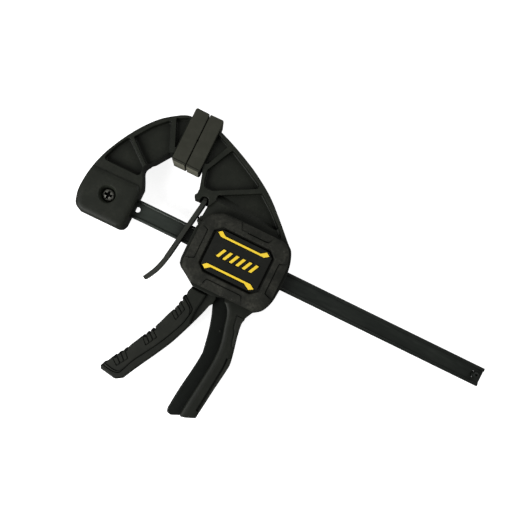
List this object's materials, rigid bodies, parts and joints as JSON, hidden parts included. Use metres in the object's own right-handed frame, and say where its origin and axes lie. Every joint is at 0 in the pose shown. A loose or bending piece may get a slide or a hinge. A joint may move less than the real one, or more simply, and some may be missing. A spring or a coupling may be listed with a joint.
{
  "type": "f clamp",
  "caption": "One-hand trigger bar clamp: fixed jaw on a steel bar, sliding jaw with a squeeze trigger, covered mechanism, release lever and soft pads.",
  "frame": {"origin": "on the plane it lies on, under the middle of its bounding box", "axes": "+X along the bar from the fixed jaw to the bar's free end, +Y from the bar towards the pads, +Z across the thickness, out of the front cover"},
  "size_m": [0.3166, 0.203, 0.034],
  "materials": {
    "bar_steel": "black oxide, drawn and lightly smudged",
    "lever_steel": "black oxide, satin",
    "bright_steel": "zinc plated",
    "body_plastic": "fine moulded texture",
    "pad_plastic": "matte, slightly dusty",
    "soft_grip": "soft-touch overmould",
    "cover_rubber": "fine moulded texture, dusty edges",
    "badge_plastic": "satin",
    "yellow_inlay": "satin yellow"
  },
  "bodies": {
    "frame": {"bar": "bar_steel", "bar_end_stop": "bar_steel", "fixed_jaw": "body_plastic", "fixed_jaw_screw": "bright_steel", "fixed_jaw_nut": "bright_steel", "fixed_jaw_pad": "pad_plastic"},
    "slider": {"moving_jaw": "body_plastic", "moving_jaw_pad": "pad_plastic", "handle_grip_upper": "soft_grip", "handle_grip_lower": "soft_grip", "front_cover": "cover_rubber", "rear_cover": "cover_rubber", "front_badge": "badge_plastic", "rear_badge": "badge_plastic", "front_stripe_top": "yellow_inlay", "front_stripe_bottom": "yellow_inlay", "rear_stripe_top": "yellow_inlay", "rear_stripe_bottom": "yellow_inlay", "cover_screw_1": "bright_steel", "cover_screw_2": "bright_steel", "cover_screw_3": "bright_steel", "cover_screw_4": "bright_steel", "trigger_pin": "bar_steel", "drive_spring": "bright_steel", "release_spring": "bright_steel"},
    "trigger": {"trigger": "body_plastic", "trigger_grip": "soft_grip"},
    "drive": {"drive_plate_1": "bar_steel", "drive_plate_2": "bar_steel"},
    "lever": {"release_lever": "lever_steel"}
  },
  "joints": [
    {"name": "jaw_slide", "type": "slide", "parent": "frame", "child": "slider", "axis": [1, 0, 0], "range_m": [0, 0.15]},
    {"name": "trigger_pivot", "type": "hinge", "parent": "slider", "child": "trigger", "pos_m": [-0.0487, 0.03475, 0.017], "axis": [0, 0, 1], "range_deg": [0, 14], "stiffness_Nm_per_rad": 0.7, "springref_deg": -17.76},
    {"name": "drive_slide", "type": "slide", "parent": "slider", "child": "drive", "axis": [1, 0, 0], "range_m": [0, 0.0039], "deforming": ["drive_spring"]},
    {"name": "release_lever_pivot", "type": "hinge", "parent": "slider", "child": "lever", "pos_m": [-0.0749, 0.04675, 0.017], "axis": [0, 0, 1], "range_deg": [0, 7], "stiffness_Nm_per_rad": 0.33, "springref_deg": -12.03, "deforming": ["release_spring"]}
  ],
  "couplings": [
    {"joint": "drive_slide", "follows": "trigger_pivot", "m_per_rad": 0.0153}
  ]
}
